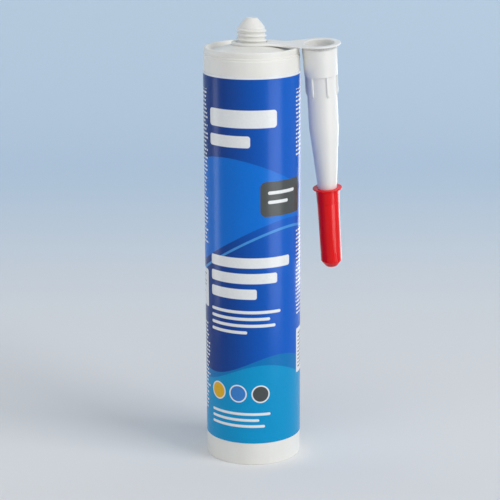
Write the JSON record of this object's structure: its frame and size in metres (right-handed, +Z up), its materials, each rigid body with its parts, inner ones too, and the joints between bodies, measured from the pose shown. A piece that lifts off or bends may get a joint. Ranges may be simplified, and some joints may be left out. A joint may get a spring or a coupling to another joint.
{
  "type": "caulk tube",
  "caption": "Sealant cartridge for a caulking gun: labelled tube with a threaded spout, a sliding rear piston, and a capped tapered nozzle hung beside it on its moulded hanger plate.",
  "frame": {"origin": "centre of the barrel's open foot, on its axis", "axes": "+Z up the barrel's axis towards the spout; the nozzle hangs on the +X side at rest"},
  "size_m": [0.0714, 0.0496, 0.2303],
  "materials": {
    "barrel": "satin white polyethylene",
    "label": "gloss printed film",
    "sealant": "wet white paste",
    "piston": "natural polyethylene",
    "nozzle": "satin white polyethylene",
    "nozzle_cap": "gloss red polyethylene"
  },
  "bodies": {
    "barrel": {"barrel": "barrel", "label": "label", "sealant": "sealant"},
    "piston": {"piston": "piston"},
    "nozzle": {"nozzle": "nozzle"},
    "nozzle_cap": {"nozzle_cap": "nozzle_cap"}
  },
  "joints": [
    {"name": "piston_slide", "type": "slide", "parent": "barrel", "child": "piston", "axis": [0, 0, 1], "range_m": [0, 0.1775], "deforming": ["sealant"]},
    {"name": "hanger_swivel", "type": "hinge", "parent": "barrel", "child": "nozzle", "pos_m": [0, 0, 0.21745], "axis": [0, 0, 1], "continuous": true},
    {"name": "cap_pull", "type": "slide", "parent": "nozzle", "child": "nozzle_cap", "axis": [0.0621, 0.0849, -0.9945], "range_m": [0, 0.038]}
  ]
}
